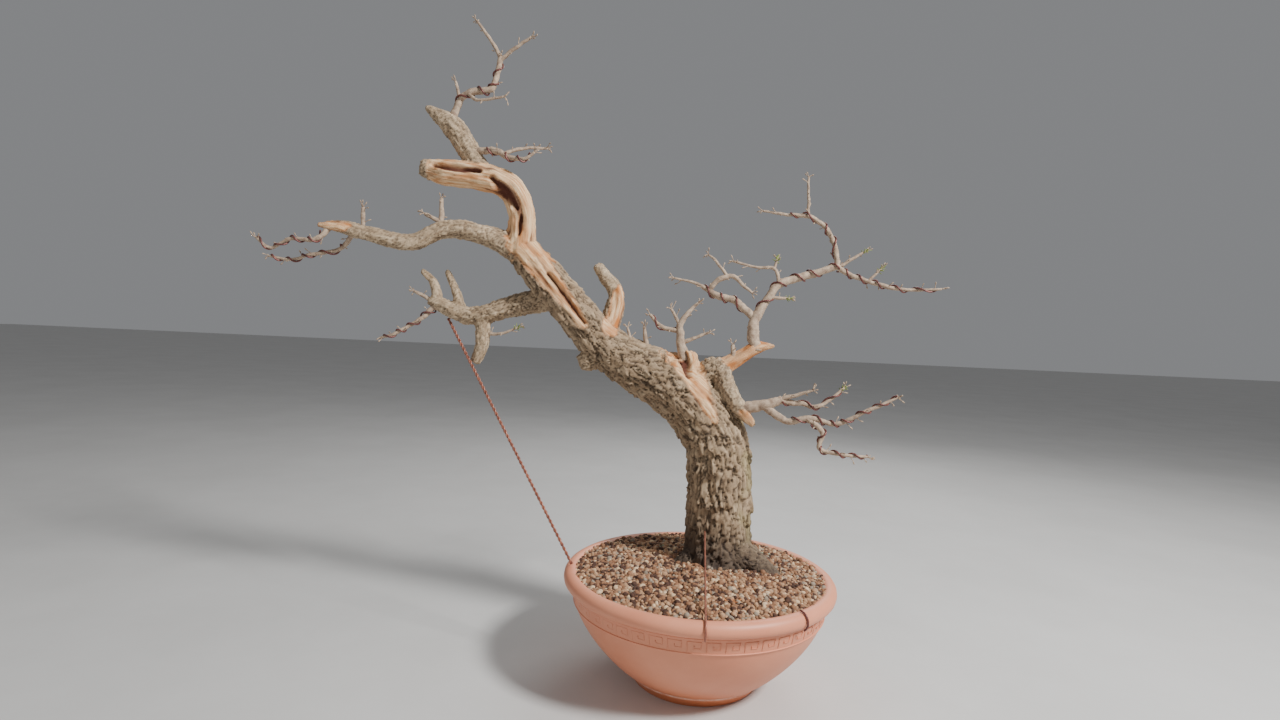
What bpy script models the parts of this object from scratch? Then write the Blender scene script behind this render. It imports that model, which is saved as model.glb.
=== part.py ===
# Bonsai tree in a round pot: pot, drain mesh, grit, one grown tree, tie wires, training coils, leaves.
# Lengths are in centimetres and become metres where a mesh is made. The origin is the centre of the
# pot's flat foot, +Z is up and -Y faces the viewer.
import math

import bpy
import bmesh
from mathutils import Vector

for old in list(bpy.data.objects):
    bpy.data.objects.remove(old, do_unlink=True)

CM = 0.01
CLEARANCE = 0.04

# Pot
RIM_RADIUS = 20.0
RIM_HEIGHT = 16.1
ROLL_RADIUS = 1.1
FOOT_RADIUS = 9.2
FOOT_HEIGHT = 1.6
FOOT_FLARE = 1.05
WALL = 0.4
FLOOR = 0.5
POT_SEGMENTS = 40
BOWL_ROWS = 7
BAND_HEIGHT = 2.4
BAND_LINE = 0.12
DRAIN_RADIUS = 0.6
DRAIN_RING = 4.5
DRAIN_COUNT = 5
MESH_RADIUS = 6.5
MESH_THICKNESS = 0.1

# Grit
SOIL_BELOW_RIM = 0.7
SOIL_HEAP = 1.1

# Wires
GUY_DIAMETER = 0.5
TIE_DIAMETER = 0.26
COIL_DIAMETER = 0.26
COIL_PITCH = 1.8
COIL_POINTS = 7

# Foot of the trunk, from the pot's axis
TRUNK_X = 3.3
TRUNK_Y = 3.5

# Where the guy wire, the front tie and the hook cross the rim, in degrees
GUY_BEARING = 185
TIE_BEARING = 269
HOOK_BEARING = 310

# One list for each limb: x, y, height above the rim, radius. The first points lie inside the parent.
TRUNK = [
    (TRUNK_X, TRUNK_Y, -7.0, 4.6), (TRUNK_X, TRUNK_Y, -1.0, 5.8), (3, 3.5, 3, 5.0),
    (2.8, 3.5, 11, 4.8), (2.2, 3.5, 18, 4.7), (-0.5, 3.5, 23, 4.8), (-5, 3.5, 27, 4.6),
    (-10.5, 3.5, 29.5, 3.8), (-15.5, 3.5, 32.5, 3.2), (-20, 3, 37, 2.9), (-25, 2.5, 42.5, 2.8),
    (-29, 2, 47, 2.3),
]
ROOTS = {
    "right_root": [(4.5, 2, 2.5, 3.2), (9.5, 0, 0.2, 1.7), (13, -2.5, -1.6, 0.9)],
    "left_root": [(1, 2.5, 1.5, 2.6), (-3.6, 1.2, -0.8, 1.2), (-6, 0.5, -2.2, 0.7)],
}
LIMBS = {
    "hook": [(-29, 2, 46.5, 2.3), (-28.6, 1, 51.5, 2.0), (-30.5, 0, 55.2, 2.0), (-35, 0, 56.6, 2.0),
             (-40, 0, 57, 1.9), (-43.5, 0, 57.6, 1.2)],
    "apex": [(-34.8, 0.5, 57.5, 1.4), (-37.2, 0.8, 61, 1.6), (-39.4, 1, 64, 1.6),
             (-41.5, 1, 65.5, 1.1), (-43.5, 1, 66.7, 0.3)],
    "leader": [(-39.5, 1, 64.8, 0.6), (-38.3, 1, 68, 0.5), (-36.5, 0.5, 69, 0.5),
               (-33.8, 0.5, 69.5, 0.48), (-33, 1, 72, 0.4), (-32.5, 1, 74.4, 0.38)],
    "leader_left": [(-32.5, 1, 74, 0.32), (-34, 1, 76.5, 0.26), (-36.3, 1, 79.4, 0.18)],
    "leader_right": [(-32.5, 1, 74, 0.32), (-30.5, 0.5, 75.5, 0.26), (-28, 0, 77, 0.18)],
    "leader_low": [(-37, 0.5, 68.8, 0.26), (-35.3, -0.6, 67.5, 0.22), (-31.5, -1, 68, 0.16)],
    "leader_bud": [(-38.4, 1, 67.8, 0.28), (-39.2, 1, 70.6, 0.18)],
    "crown": [(-37, 0.6, 60.4, 0.6), (-32.6, -0.4, 60.4, 0.48), (-30.8, -1, 59.4, 0.4),
              (-28, -2, 59, 0.25), (-26.6, -2, 60, 0.18)],
    "crown_upper": [(-31.4, -0.8, 59.8, 0.32), (-28.5, 0, 61, 0.24), (-25.2, 1, 61.4, 0.16)],
    "left_top": [(-28.5, 2, 46.2, 2.2), (-34, 1, 48.2, 1.5), (-39.5, 0, 48.8, 1.35),
                 (-44.5, -1, 46.5, 1.2), (-50, -2, 47.3, 1.1), (-54, -3, 48.1, 0.9),
                 (-57.3, -3, 48.3, 0.35)],
    "left_top_peg": [(-51, -2, 47.5, 0.38), (-51.2, -2, 51.2, 0.25)],
    "left_top_stub": [(-40.3, 0, 49, 0.45), (-40.4, 0, 53.2, 0.26)],
    "left_top_side": [(-40.2, 0, 49.6, 0.36), (-42.6, -0.6, 50.8, 0.25)],
    "tip_upper": [(-55.5, -3, 48, 0.5), (-57.2, -4, 46, 0.32), (-60.5, -4, 46, 0.26),
                  (-63.3, -4, 44.6, 0.22), (-65.6, -4, 46, 0.16)],
    "tip_lower": [(-52, -2.6, 47.4, 0.4), (-55, -1, 45, 0.3), (-59.5, -1, 44, 0.26),
                  (-62.5, 0, 43.3, 0.22), (-65.8, 0, 43.7, 0.16)],
    "left_low": [(-22.5, 3.5, 40, 2.0), (-30, 4, 38, 1.6), (-35.8, 4, 36.3, 1.4), (-40, 4, 37.2, 1.2),
                 (-43, 4, 38.5, 0.8)],
    "left_low_drop": [(-34.8, 4, 36, 1.3), (-34.6, 4, 32, 1.0), (-35.7, 4, 29, 0.75)],
    "left_low_rise": [(-38, 4, 37, 0.9), (-39, 4, 40, 0.65), (-40.5, 4, 43, 0.4)],
    "left_low_end": [(-41.5, 4, 37.8, 0.85), (-42.4, 4, 41, 0.7), (-44, 3, 42.8, 0.35)],
    "low_twig": [(-41.8, 4, 37.6, 0.5), (-44.5, 3, 35, 0.32), (-47.5, 2, 33, 0.26),
                 (-49.5, 2, 32.3, 0.16)],
    "low_peg": [(-42.4, 4, 38.2, 0.4), (-45.4, 4, 39.6, 0.2)],
    "low_drop_twig": [(-34.6, 4, 33.6, 0.3), (-31.5, 3, 33.7, 0.22), (-29, 3, 34.8, 0.16)],
    "dead_stub": [(-15.5, 4.4, 34, 1.8), (-14.3, 5, 40.5, 1.3), (-16.5, 5, 43.5, 1.0),
                  (-17.5, 5, 45, 0.8)],
    "knob": [(-15, 3.5, 31.5, 2.4), (-19.5, 3, 29.8, 1.1)],
    "shoulder": [(-3.5, 3.2, 25, 3.6), (-5.4, 2.6, 31, 2.5)],
    "shoulder_right": [(-3.5, 2.8, 28, 2.4), (-2.6, 2.5, 32.4, 1.2)],
    "centre": [(-3.6, 2.5, 31, 0.9), (-4.3, 2.5, 36.3, 0.5), (-1.8, 3, 39.7, 0.18)],
    "centre_right": [(-3.9, 2.5, 33.6, 0.35), (0, 2, 35.3, 0.16)],
    "centre_left": [(-4.2, 2.5, 35.2, 0.38), (-7.3, 3, 35.9, 0.3), (-9, 3, 37.6, 0.2)],
    "centre_up": [(-4.2, 2.5, 36, 0.34), (-5.8, 3, 38.6, 0.18)],
    "short_twig": [(-9, 3.5, 30.5, 0.6), (-9.8, 3.5, 35.8, 0.2)],
    "thin_twig": [(-11, 3.5, 30.5, 0.4), (-12.3, 3.5, 35.5, 0.16)],
    "right_limb": [(-2, 3.5, 27.5, 2.4), (1.5, 2, 30, 1.6), (3, 1, 27, 1.3), (5.2, 0, 24, 1.1),
                   (7.1, -0.5, 21.8, 0.4)],
    "right_rise": [(1.4, 2, 29.8, 1.4), (4.8, 2, 31.7, 1.1), (7.2, 2, 33.3, 1.0), (9.9, 2, 33.8, 0.3)],
    "right_tear": [(3.8, 2, 31, 0.6), (3.6, 2, 33.6, 0.26)],
    "upper": [(7, 2, 32.8, 0.95), (6.6, 2.5, 37, 0.85), (8.2, 3, 40, 0.65), (10.3, 3.5, 43, 0.6),
              (14, 4, 44.4, 0.6), (19.2, 4, 46.2, 0.5)],
    "upper_left": [(6.8, 2.6, 37.6, 0.6), (3.8, 3.5, 40.2, 0.55), (1.3, 4, 40.8, 0.55),
                   (-0.4, 4.5, 41.8, 0.42), (-2.3, 5, 42.8, 0.22), (-5.5, 5, 43.4, 0.16)],
    "arch": [(-0.2, 4.4, 41.7, 0.4), (1.2, 4, 43.4, 0.4), (3.5, 4, 43.9, 0.35), (5.2, 4, 42.4, 0.25),
             (6.4, 4, 41.6, 0.18)],
    "arch_twig": [(2.6, 4, 43.8, 0.28), (0.8, 4.5, 46.2, 0.2), (-0.5, 5, 47.2, 0.16)],
    "middle_twig": [(10.3, 3.5, 43, 0.34), (9.6, 4, 45.4, 0.26), (6.5, 4.5, 45.6, 0.2),
                    (3.4, 5, 46.4, 0.16)],
    "middle_tuft": [(9.6, 4, 45.2, 0.24), (10, 4.5, 47, 0.16)],
    "spray": [(19, 4, 46.1, 0.44), (18.6, 4.5, 49.5, 0.38), (17, 5, 52.2, 0.36), (14.6, 5, 53.7, 0.35),
              (11, 5.5, 53.9, 0.22), (7.7, 6, 54.4, 0.16)],
    "spire": [(14.5, 5, 53.6, 0.26), (14.2, 5, 59.6, 0.16)],
    "reach": [(19, 4, 46.1, 0.44), (21.2, 3.5, 44.8, 0.36), (26.3, 2.5, 43.3, 0.3),
              (29.7, 2, 42.9, 0.24), (33.7, 1, 43.2, 0.16)],
    "reach_up": [(19.4, 4, 46.2, 0.3), (23.3, 4, 48.7, 0.16)],
    "reach_leaf": [(23.6, 3, 44.1, 0.24), (25.4, 3, 46, 0.16)],
    "upper_small": [(8.8, 3.2, 41, 0.3), (11.9, 3, 40.9, 0.16)],
    "lower": [(5, 0.1, 24.2, 1.0), (9, -1, 25.3, 0.75), (10.8, -1, 26, 0.55)],
    "lower_top": [(10.4, -1, 25.8, 0.5), (13.6, -0.5, 25.5, 0.36), (16.6, 0, 25.2, 0.32),
                  (20.2, 0.5, 28, 0.16)],
    "lower_thin": [(10.6, -1, 26, 0.36), (15, -2, 27.6, 0.16)],
    "lower_long": [(8, -0.8, 25, 0.6), (11.5, -2, 23, 0.5), (14.7, -3, 23.7, 0.4), (18.3, -3, 23, 0.32),
                   (22, -4, 25, 0.27), (26.5, -4, 27.3, 0.16)],
    "lower_drop": [(14.2, -2.9, 23.6, 0.4), (16.3, -4, 21.8, 0.36), (15.8, -4.2, 19.6, 0.3),
                   (18.5, -5, 19, 0.26), (22.5, -5, 18.8, 0.16)],
}

# Which stretch of a limb each training coil holds, as shares of the limb's rows
COILS = {
    "wire_leader": ("leader", 0.50, 0.90),
    "wire_crown": ("crown", 0.42, 0.58),
    "wire_tip_upper": ("tip_upper", 0.40, 0.95),
    "wire_tip_lower": ("tip_lower", 0.40, 0.95),
    "wire_low_twig": ("low_twig", 0.40, 0.95),
    "wire_centre_left": ("centre_left", 0.40, 0.90),
    "wire_upper": ("upper", 0.68, 0.93),
    "wire_upper_left": ("upper_left", 0.28, 0.50),
    "wire_spray": ("spray", 0.16, 0.46),
    "wire_reach": ("reach", 0.45, 0.95),
    "wire_lower_top": ("lower_top", 0.30, 0.95),
    "wire_lower_long": ("lower_long", 0.52, 0.95),
    "wire_lower_drop": ("lower_drop", 0.25, 0.95),
}

# Limbs whose tips carry young leaves
SPRIGS = ["reach_up", "reach_leaf", "upper_small", "lower_top", "middle_tuft", "low_drop_twig"]
SPRIG_LENGTH = 1.1
SPRIG_RADIUS = 0.35

# Moss on the grit: x, y, radius
MOSS = [(-9.5, 7.0, 1.3), (-4.5, 8.5, 1.1), (11.0, 8.0, 1.0)]
MOSS_HEIGHT = 0.4
LEAF_PLACE = (3.5, -12.5)
LEAF_LENGTH = 2.6
LEAF_WIDTH = 0.9
LEAF_THICKNESS = 0.12

roll_centre_r = RIM_RADIUS - ROLL_RADIUS
roll_centre_z = RIM_HEIGHT - ROLL_RADIUS
soil_edge_r = roll_centre_r - WALL / 2 - CLEARANCE
soil_edge_z = RIM_HEIGHT - SOIL_BELOW_RIM


def material(name, colour, roughness, metallic=0.0):
    made = bpy.data.materials.new(name)
    made.use_nodes = True
    shader = made.node_tree.nodes["Principled BSDF"]
    shader.inputs["Base Color"].default_value = (*colour, 1.0)
    shader.inputs["Roughness"].default_value = roughness
    shader.inputs["Metallic"].default_value = metallic
    return made


def make_object(name, verts, faces, finish):
    mesh = bpy.data.meshes.new(name)
    mesh.from_pydata([Vector(v) * CM for v in verts], [], faces)
    work = bmesh.new()
    work.from_mesh(mesh)
    bmesh.ops.recalc_face_normals(work, faces=work.faces)
    work.to_mesh(mesh)
    work.free()
    mesh.shade_smooth()
    mesh.set_sharp_from_angle(angle=math.radians(40))
    made = bpy.data.objects.new(name, mesh)
    made.data.materials.append(finish)
    bpy.context.scene.collection.objects.link(made)
    return made


def as_guide(made):
    made.hide_render = True
    made.display_type = "WIRE"
    return made


def union_or_cut(made, operation, guides, name):
    group = bpy.data.collections.new(name)
    bpy.context.scene.collection.children.link(group)
    for guide in guides:
        bpy.context.scene.collection.objects.unlink(guide)
        group.objects.link(as_guide(guide))
    modifier = made.modifiers.new(name, "BOOLEAN")
    modifier.operation = operation
    modifier.solver = "EXACT"
    modifier.operand_type = "COLLECTION"
    modifier.collection = group


def turned(name, profile, finish):
    # A profile that starts and ends on the axis, turned into one closed body.
    ring = profile[1:-1]
    verts = [(0, 0, profile[0][1])]
    for radius, height in ring:
        for i in range(POT_SEGMENTS):
            turn = math.tau * i / POT_SEGMENTS
            verts.append((radius * math.cos(turn), radius * math.sin(turn), height))
    verts.append((0, 0, profile[-1][1]))
    last = len(verts) - 1
    faces = []
    for i in range(POT_SEGMENTS):
        after = (i + 1) % POT_SEGMENTS
        faces.append((0, 1 + after, 1 + i))
        for row in range(len(ring) - 1):
            low = 1 + row * POT_SEGMENTS
            high = low + POT_SEGMENTS
            faces.append((low + i, low + after, high + after, high + i))
        top = 1 + (len(ring) - 1) * POT_SEGMENTS
        faces.append((top + i, top + after, last))
    return make_object(name, verts, faces, finish)


def bowl_radius(height):
    # A quarter-ellipse from the top of the foot ring up to the underside of the roll.
    foot_top = FOOT_RADIUS + FOOT_FLARE
    share = (height - FOOT_HEIGHT) / (roll_centre_z - FOOT_HEIGHT)
    share = min(max(share, 0.0), 1.0)
    return foot_top + (roll_centre_r - foot_top) * math.sin(share * math.pi / 2) ** 0.85


def soil_height(radius):
    share = min(radius / soil_edge_r, 1.0)
    return soil_edge_z + SOIL_HEAP * (1 - share * share)


def rounded_route(points):
    # Rows along a smooth curve through a limb's points, closer together on thin wood.
    rows = []
    padded = [points[0]] + list(points) + [points[-1]]
    for i in range(1, len(padded) - 2):
        before, start, end, after = [Vector(padded[i + k][:3]) for k in (-1, 0, 1, 2)]
        thick, thin = padded[i][3], padded[i + 1][3]
        length = (end - start).length
        count = max(1, round(length / max(1.3 * thick, 1.4)))
        for step in range(count):
            t = step / count
            place = 0.5 * (2 * start + (end - before) * t
                           + (2 * before - 5 * start + 4 * end - after) * t ** 2
                           + (3 * start - before - 3 * end + after) * t ** 3)
            rows.append((place, thick + (thin - thick) * t))
    rows.append((Vector(points[-1][:3]), points[-1][3]))
    return [(place + Vector((0, 0, RIM_HEIGHT)), radius) for place, radius in rows]


def tube(name, rows, sides, finish):
    # Sweeps a ring along the rows without twisting it, with a flat cap at each end.
    verts, faces = [], []
    normal = None
    for i, (place, radius) in enumerate(rows):
        ahead = rows[min(i + 1, len(rows) - 1)][0]
        behind = rows[max(i - 1, 0)][0]
        along = (ahead - behind).normalized()
        if normal is None:
            normal = along.orthogonal()
        normal = (normal - along * normal.dot(along)).normalized()
        other = along.cross(normal)
        for k in range(sides):
            turn = math.tau * k / sides
            verts.append(place + radius * (math.cos(turn) * normal + math.sin(turn) * other))
    for i in range(len(rows) - 1):
        for k in range(sides):
            after = (k + 1) % sides
            faces.append((i * sides + k, i * sides + after, (i + 1) * sides + after, (i + 1) * sides + k))
    faces.append(tuple(range(sides)))
    faces.append(tuple((len(rows) - 1) * sides + k for k in range(sides)))
    return make_object(name, verts, faces, finish)


def sides_for(radius):
    if radius > 2:
        return 12
    return 8 if radius > 0.7 else 6


def grown(rows, amount):
    # The same limb, fatter and longer at both ends by the clearance round it.
    first = (rows[0][0] - rows[1][0]).normalized() * amount
    last = (rows[-1][0] - rows[-2][0]).normalized() * amount
    fat = [(place, radius + amount) for place, radius in rows]
    fat[0] = (fat[0][0] + first, fat[0][1])
    fat[-1] = (fat[-1][0] + last, fat[-1][1])
    return fat


def make_pot(finish):
    outer = [(0, 0), (FOOT_RADIUS, 0), (FOOT_RADIUS + FOOT_FLARE, FOOT_HEIGHT)]
    band_top = roll_centre_z - ROLL_RADIUS
    band_low = band_top - BAND_HEIGHT
    for row in range(1, BOWL_ROWS):
        height = FOOT_HEIGHT + (band_low - FOOT_HEIGHT) * row / BOWL_ROWS
        outer.append((bowl_radius(height), height))
    outer.append((bowl_radius(band_low), band_low))
    outer.append((bowl_radius(band_low) + BAND_LINE, band_low + BAND_LINE))
    outer.append((bowl_radius(band_top), band_top))
    roll = []
    for degrees in range(-60, 181, 30):
        turn = math.radians(degrees)
        roll.append((roll_centre_r + ROLL_RADIUS * math.cos(turn),
                     roll_centre_z + ROLL_RADIUS * math.sin(turn)))
    inner = [(roll_centre_r - WALL / 2, roll_centre_z - ROLL_RADIUS / 2)]
    for row in range(BOWL_ROWS - 1, 0, -1):
        height = FOOT_HEIGHT + (band_low - FOOT_HEIGHT) * row / BOWL_ROWS
        inner.append((bowl_radius(height) - WALL, height))
    inner.append((FOOT_RADIUS - WALL, FLOOR))
    # The roll's inner lip is cut back to the wall, so the grit fits straight inside it.
    roll = [(max(r, roll_centre_r - WALL / 2), z) for r, z in roll]
    pot = turned("pot", outer + roll[:-1] + inner + [(0, FLOOR)], finish)
    holes = []
    for i in range(DRAIN_COUNT):
        turn = math.tau * i / DRAIN_COUNT
        place = Vector((DRAIN_RING * math.cos(turn), DRAIN_RING * math.sin(turn), 0))
        rows = [(place + Vector((0, 0, -1)), DRAIN_RADIUS), (place + Vector((0, 0, 2)), DRAIN_RADIUS)]
        holes.append(tube("drain_guide_%d" % i, rows, 12, finish))
    union_or_cut(pot, "DIFFERENCE", holes, "drain_guides")


def make_substrate(finish):
    bottom = FLOOR + MESH_THICKNESS + 2 * CLEARANCE
    band_low = roll_centre_z - ROLL_RADIUS - BAND_HEIGHT
    inset = WALL + 2 * CLEARANCE
    profile = [(0, bottom), (FOOT_RADIUS - inset, bottom)]
    for row in range(1, BOWL_ROWS):
        height = FOOT_HEIGHT + (band_low - FOOT_HEIGHT) * row / BOWL_ROWS
        profile.append((bowl_radius(height) - inset, height))
    profile.append((soil_edge_r - CLEARANCE, roll_centre_z - ROLL_RADIUS / 2))
    for share in (1.0, 0.8, 0.55, 0.3):
        radius = (soil_edge_r - CLEARANCE) * share
        profile.append((radius, soil_height(radius)))
    profile.append((0, soil_height(0)))
    substrate = turned("substrate", profile, finish)
    guides = []
    for name, points in [("trunk", TRUNK)] + list(ROOTS.items()):
        rows = grown(rounded_route(points), CLEARANCE)
        guides.append(tube(name + "_hole_guide", rows, sides_for(points[0][3]), finish))
    union_or_cut(substrate, "DIFFERENCE", guides, "root_hole_guides")


def make_tree(finish):
    tree = tube("tree", rounded_route(TRUNK), sides_for(TRUNK[0][3]), finish)
    guides = []
    for name, points in list(ROOTS.items()) + list(LIMBS.items()):
        guides.append(tube(name + "_guide", rounded_route(points), sides_for(points[0][3]), finish))
    union_or_cut(tree, "UNION", guides, "limb_guides")


def make_coil(name, points, start, end, finish):
    rows = rounded_route(points)
    wire = COIL_DIAMETER / 2
    spots, travelled = [], 0.0
    first, last = start * (len(rows) - 1), end * (len(rows) - 1)
    for i in range(len(rows) - 1):
        (low, thick), (high, thin) = rows[i], rows[i + 1]
        steps = max(1, round((high - low).length * COIL_POINTS / COIL_PITCH))
        for step in range(steps):
            share = step / steps
            if first <= i + share <= last:
                spots.append((low.lerp(high, share), thick + (thin - thick) * share))
    path, normal = [], None
    for i, (place, radius) in enumerate(spots):
        along = (spots[min(i + 1, len(spots) - 1)][0] - spots[max(i - 1, 0)][0]).normalized()
        if normal is None:
            normal = along.orthogonal()
        normal = (normal - along * normal.dot(along)).normalized()
        if i:
            travelled += (place - spots[i - 1][0]).length
        turn = math.tau * travelled / COIL_PITCH
        reach = (radius + wire + CLEARANCE) / math.cos(math.pi / COIL_POINTS)
        side = math.cos(turn) * normal + math.sin(turn) * along.cross(normal)
        path.append((place + reach * side, wire))
    tube(name, path, 5, finish)


def rim_point(bearing, degrees, reach):
    # A point round the roll's section at a bearing on the rim.
    turn, section = math.radians(bearing), math.radians(degrees)
    radius = roll_centre_r + reach * math.cos(section)
    return Vector((radius * math.cos(turn), radius * math.sin(turn),
                   roll_centre_z + reach * math.sin(section)))


def make_tie_wires(finish):
    wire = TIE_DIAMETER / 2
    reach = ROLL_RADIUS + wire + 2 * CLEARANCE
    over = [(rim_point(TIE_BEARING, degrees, reach), wire) for degrees in range(100, -61, -20)]
    trunk_r = TRUNK[2][3] + wire + 2 * CLEARANCE
    lean = math.radians(-118)
    start = Vector((TRUNK[2][0] + trunk_r * math.cos(lean), TRUNK[2][1] + trunk_r * math.sin(lean),
                    RIM_HEIGHT + 6))
    tube("front_tie_wire", [(start, wire)] + over, 8, finish)
    hook = [(rim_point(HOOK_BEARING, degrees, reach), wire) for degrees in range(90, -61, -15)]
    tube("rim_hook_wire", hook, 8, finish)


def make_guy_wire(finish):
    wire = GUY_DIAMETER / 2
    foot = rim_point(GUY_BEARING, 90, ROLL_RADIUS + wire + 2 * CLEARANCE)
    x, y, height, radius = LIMBS["left_low"][3]
    head = Vector((x, y, RIM_HEIGHT + height - radius - wire - 2 * CLEARANCE))
    rows = [(head.lerp(foot, i / 20), wire) for i in range(21)]
    tube("guy_wire", rows, 8, finish)


def make_sprig(name, points, finish):
    rows = rounded_route(points)
    tip = rows[-1][0]
    along = (tip - rows[-2][0]).normalized()
    profile = [(0.0, 0.3), (0.3, 1.0), (0.65, 0.8), (1.0, 0.2)]
    spindle = [(tip + along * (CLEARANCE + SPRIG_LENGTH * t), SPRIG_RADIUS * w) for t, w in profile]
    tube(name, spindle, 6, finish)


def make_moss(name, x, y, radius, finish):
    sides = 10
    verts, faces = [], []
    for share, lift in ((1.0, 0.0), (0.9, 0.6), (0.5, 1.0)):
        for k in range(sides):
            turn = math.tau * k / sides
            px, py = x + radius * share * math.cos(turn), y + radius * share * math.sin(turn)
            ground = soil_height(math.hypot(px, py)) + 2 * CLEARANCE
            verts.append((px, py, ground + MOSS_HEIGHT * lift))
    for row in range(2):
        for k in range(sides):
            after = (k + 1) % sides
            faces.append((row * sides + k, row * sides + after, (row + 1) * sides + after,
                          (row + 1) * sides + k))
    faces.append(tuple(range(sides)))
    faces.append(tuple(2 * sides + k for k in range(sides)))
    make_object(name, verts, faces, finish)


def make_fallen_leaf(finish):
    x, y = LEAF_PLACE
    outline = [(math.cos(math.tau * k / 12) * LEAF_LENGTH / 2, math.sin(math.tau * k / 12) * LEAF_WIDTH / 2)
               for k in range(12)]
    verts = []
    for lift in (0.0, LEAF_THICKNESS):
        for dx, dy in outline:
            ground = soil_height(math.hypot(x + dx, y + dy)) + CLEARANCE
            verts.append((x + dx, y + dy, ground + lift))
    faces = [(k, (k + 1) % 12, 12 + (k + 1) % 12, 12 + k) for k in range(12)]
    faces += [tuple(range(12)), tuple(range(12, 24))]
    make_object("fallen_leaf", verts, faces, finish)


def make_drain_mesh(finish):
    low = FLOOR + CLEARANCE
    turned("drain_mesh", [(0, low), (MESH_RADIUS, low), (MESH_RADIUS, low + MESH_THICKNESS),
                          (0, low + MESH_THICKNESS)], finish)


bark = material("bark", (0.30, 0.24, 0.17), 0.9)
grit = material("grit", (0.38, 0.28, 0.19), 0.95)
terracotta = material("terracotta_plastic", (0.73, 0.31, 0.19), 0.5)
copper_wire = material("copper_wire", (0.36, 0.16, 0.13), 0.45, 0.6)
guy_metal = material("guy_wire_metal", (0.45, 0.26, 0.22), 0.45, 0.6)
leaf_green = material("leaf_green", (0.30, 0.36, 0.14), 0.7)
moss_green = material("moss_green", (0.32, 0.36, 0.24), 0.95)
dead_leaf = material("dead_leaf", (0.50, 0.20, 0.07), 0.8)
mesh_black = material("mesh_black", (0.03, 0.03, 0.03), 0.6)

make_pot(terracotta)
make_drain_mesh(mesh_black)
make_substrate(grit)
make_tree(bark)
make_guy_wire(guy_metal)
make_tie_wires(copper_wire)
for coil_name, (limb, start, end) in COILS.items():
    make_coil(coil_name, LIMBS[limb], start, end, copper_wire)
for index, limb in enumerate(SPRIGS):
    make_sprig("leaf_sprig_%d" % (index + 1), LIMBS[limb], leaf_green)
for index, (x, y, radius) in enumerate(MOSS):
    make_moss("moss_%d" % (index + 1), x, y, radius, moss_green)
make_fallen_leaf(dead_leaf)
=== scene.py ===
# Bonsai tree in a round bowl: bark, deadwood, wired twigs, grit and the moulded pot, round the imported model
import math
import random

import bpy
import numpy as np
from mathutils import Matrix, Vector, noise


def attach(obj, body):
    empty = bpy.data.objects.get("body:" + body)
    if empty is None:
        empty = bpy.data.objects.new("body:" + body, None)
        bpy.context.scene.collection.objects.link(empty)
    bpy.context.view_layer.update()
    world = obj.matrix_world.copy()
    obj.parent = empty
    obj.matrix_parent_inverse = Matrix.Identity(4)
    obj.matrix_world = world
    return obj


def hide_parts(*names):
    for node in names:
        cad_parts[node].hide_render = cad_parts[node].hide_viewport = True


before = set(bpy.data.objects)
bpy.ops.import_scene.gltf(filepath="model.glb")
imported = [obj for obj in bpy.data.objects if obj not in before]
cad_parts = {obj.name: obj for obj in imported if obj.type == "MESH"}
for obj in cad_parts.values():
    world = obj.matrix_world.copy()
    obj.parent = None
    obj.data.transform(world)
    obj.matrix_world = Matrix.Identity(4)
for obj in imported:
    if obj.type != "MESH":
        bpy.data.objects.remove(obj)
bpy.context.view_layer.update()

random.seed(7)
cm = 0.01   # every list below is in centimetres


# small helpers

def deselectAll():
    if bpy.context.object and bpy.context.object.mode != "OBJECT":
        bpy.ops.object.mode_set(mode="OBJECT")
    bpy.ops.object.select_all(action="DESELECT")


def only(piece):
    deselectAll()
    piece.select_set(True)
    bpy.context.view_layer.objects.active = piece


def smoothStep(low, high, value):
    share = min(max((value - low) / (high - low), 0.0), 1.0)
    return share * share * (3 - 2 * share)


def fromPoints(name, points, faces, finish):
    mesh = bpy.data.meshes.new(name)
    mesh.from_pydata([Vector(p) * cm for p in points], [], faces)
    mesh.materials.append(finish)
    mesh.shade_smooth()
    piece = bpy.data.objects.new(name, mesh)
    bpy.context.scene.collection.objects.link(piece)
    return piece


def place(piece, slot, *nodes):
    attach(piece, "root")
    if nodes:
        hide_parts(*nodes)
    return piece


# materials

def soakedVariation():
    # a slow change between two colours, with its own height for a bump
    group = bpy.data.node_groups.new("soakedVariation", "ShaderNodeTree")
    for name, kind in (("Vector", "NodeSocketVector"), ("Scale", "NodeSocketFloat"),
                       ("First", "NodeSocketColor"), ("Second", "NodeSocketColor")):
        group.interface.new_socket(name=name, in_out="INPUT", socket_type=kind)
    group.interface.new_socket(name="Color", in_out="OUTPUT", socket_type="NodeSocketColor")
    group.interface.new_socket(name="Height", in_out="OUTPUT", socket_type="NodeSocketFloat")
    nodes, links = group.nodes, group.links
    entry, leave = nodes.new("NodeGroupInput"), nodes.new("NodeGroupOutput")
    cloud = nodes.new("ShaderNodeTexNoise")
    cloud.inputs["Detail"].default_value = 6
    cloud.inputs["Roughness"].default_value = 0.65
    spread = nodes.new("ShaderNodeMapRange")
    spread.inputs["From Min"].default_value = 0.36
    spread.inputs["From Max"].default_value = 0.64
    blend = nodes.new("ShaderNodeMix")
    blend.data_type = "RGBA"
    links.new(entry.outputs["Vector"], cloud.inputs["Vector"])
    links.new(entry.outputs["Scale"], cloud.inputs["Scale"])
    links.new(cloud.outputs[0], spread.inputs["Value"])
    links.new(spread.outputs[0], blend.inputs[0])
    links.new(entry.outputs["First"], blend.inputs[6])
    links.new(entry.outputs["Second"], blend.inputs[7])
    links.new(blend.outputs[2], leave.inputs["Color"])
    links.new(cloud.outputs[0], leave.inputs["Height"])
    return group


variation = soakedVariation()


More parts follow.
